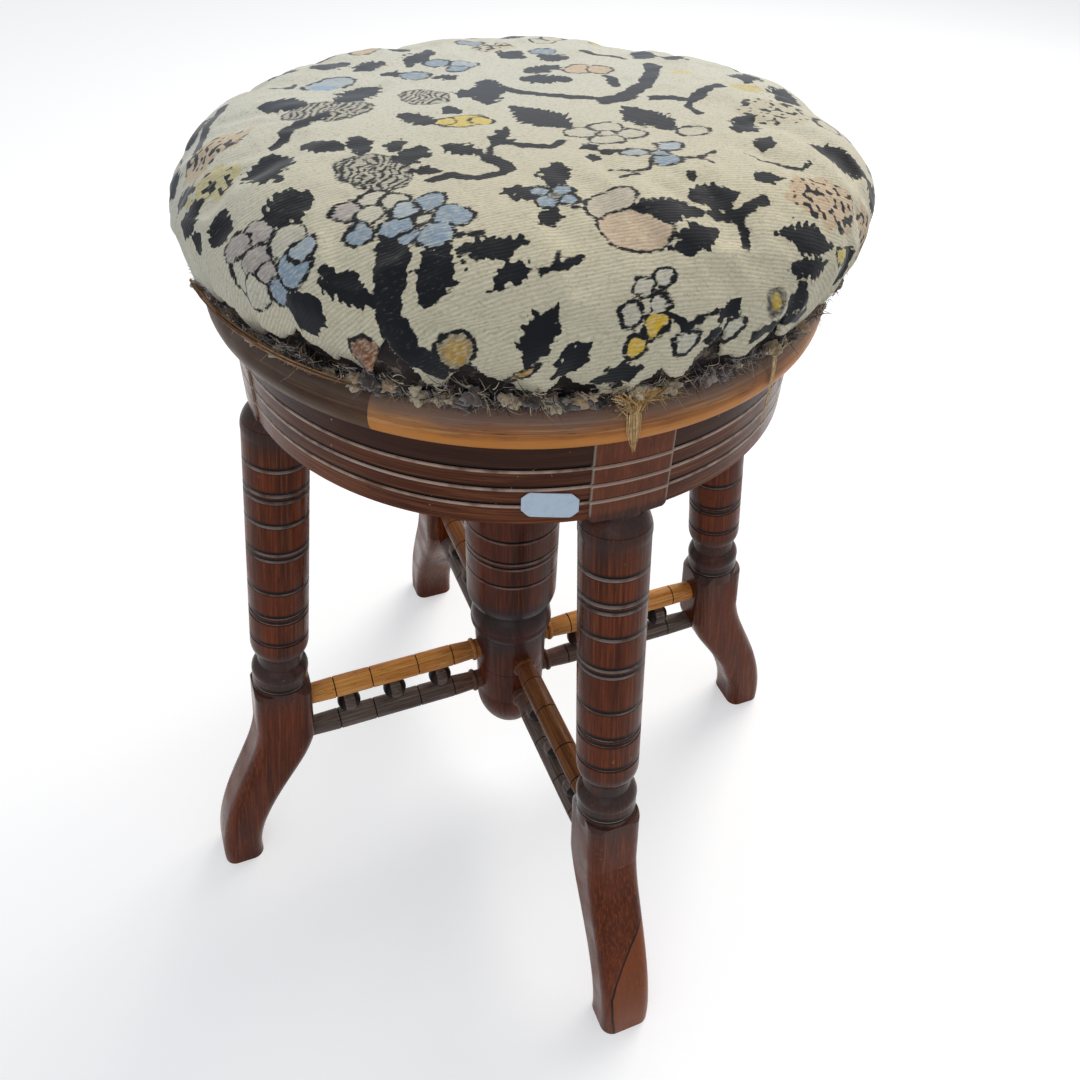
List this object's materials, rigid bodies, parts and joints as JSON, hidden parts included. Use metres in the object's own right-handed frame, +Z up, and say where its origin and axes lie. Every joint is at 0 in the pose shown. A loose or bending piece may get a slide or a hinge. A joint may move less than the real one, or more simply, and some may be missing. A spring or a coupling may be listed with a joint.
{
  "type": "revolving piano stool",
  "caption": "Revolving piano stool: round stuffed seat on an iron screw in a turned column, reeded round apron, ringed raking legs with sabre feet, and ball and rail stretchers",
  "frame": {"origin": "On the floor, on the axis of the screw: the middle of the bottom of the bounding box.", "axes": "+Z is up along the screw. The four legs stand on the axes: right on +X, back on +Y, left on -X, front on -Y."},
  "size_m": [0.456, 0.456, 0.521],
  "materials": {
    "walnut": "polished, worn",
    "rail_honey": "polished, worn light",
    "rail_grey": "polished, dusty",
    "pine": "raw",
    "iron": "black, matt",
    "steel": "greased, dull",
    "hair": "matted hair",
    "moquette": "woven pile"
  },
  "bodies": {
    "frame": {"apron_rail_back_left": "walnut", "apron_rail_front_right": "walnut", "apron_rail_left_front": "walnut", "apron_rail_right_back": "walnut", "column": "walnut", "cross_bar_lower": "pine", "cross_bar_upper": "pine", "leg_back": "walnut", "leg_front": "walnut", "leg_left": "walnut", "leg_right": "walnut", "nut_plate": "iron", "nut_screws": "steel", "stretcher_balls_back": "rail_grey", "stretcher_balls_front": "rail_grey", "stretcher_balls_left": "rail_grey", "stretcher_balls_right": "rail_grey", "stretcher_lower_back": "rail_grey", "stretcher_lower_front": "rail_grey", "stretcher_lower_left": "rail_grey", "stretcher_lower_right": "rail_grey", "stretcher_upper_back": "rail_honey", "stretcher_upper_front": "rail_honey", "stretcher_upper_left": "rail_honey", "stretcher_upper_right": "rail_honey"},
    "thrust_washer": {"washer": "steel"},
    "seat": {"cover": "moquette", "flange_screws": "steel", "seat_board": "pine", "seat_flange": "iron", "seat_rim_1": "walnut", "seat_rim_2": "walnut", "seat_rim_3": "walnut", "seat_rim_4": "walnut", "spindle": "steel", "stuffing": "hair"}
  },
  "joints": [
    {"name": "seat_turn", "type": "hinge", "parent": "frame", "child": "thrust_washer", "pos_m": [0, 0, 0.426], "axis": [0, 0, 1], "range_deg": [0, 4320]},
    {"name": "seat_rise", "type": "slide", "parent": "thrust_washer", "child": "seat", "axis": [0, 0, 1], "range_m": [0, 0.0965]}
  ],
  "couplings": [
    {"joint": "seat_rise", "follows": "seat_turn", "m_per_rad": 0.0012732}
  ]
}
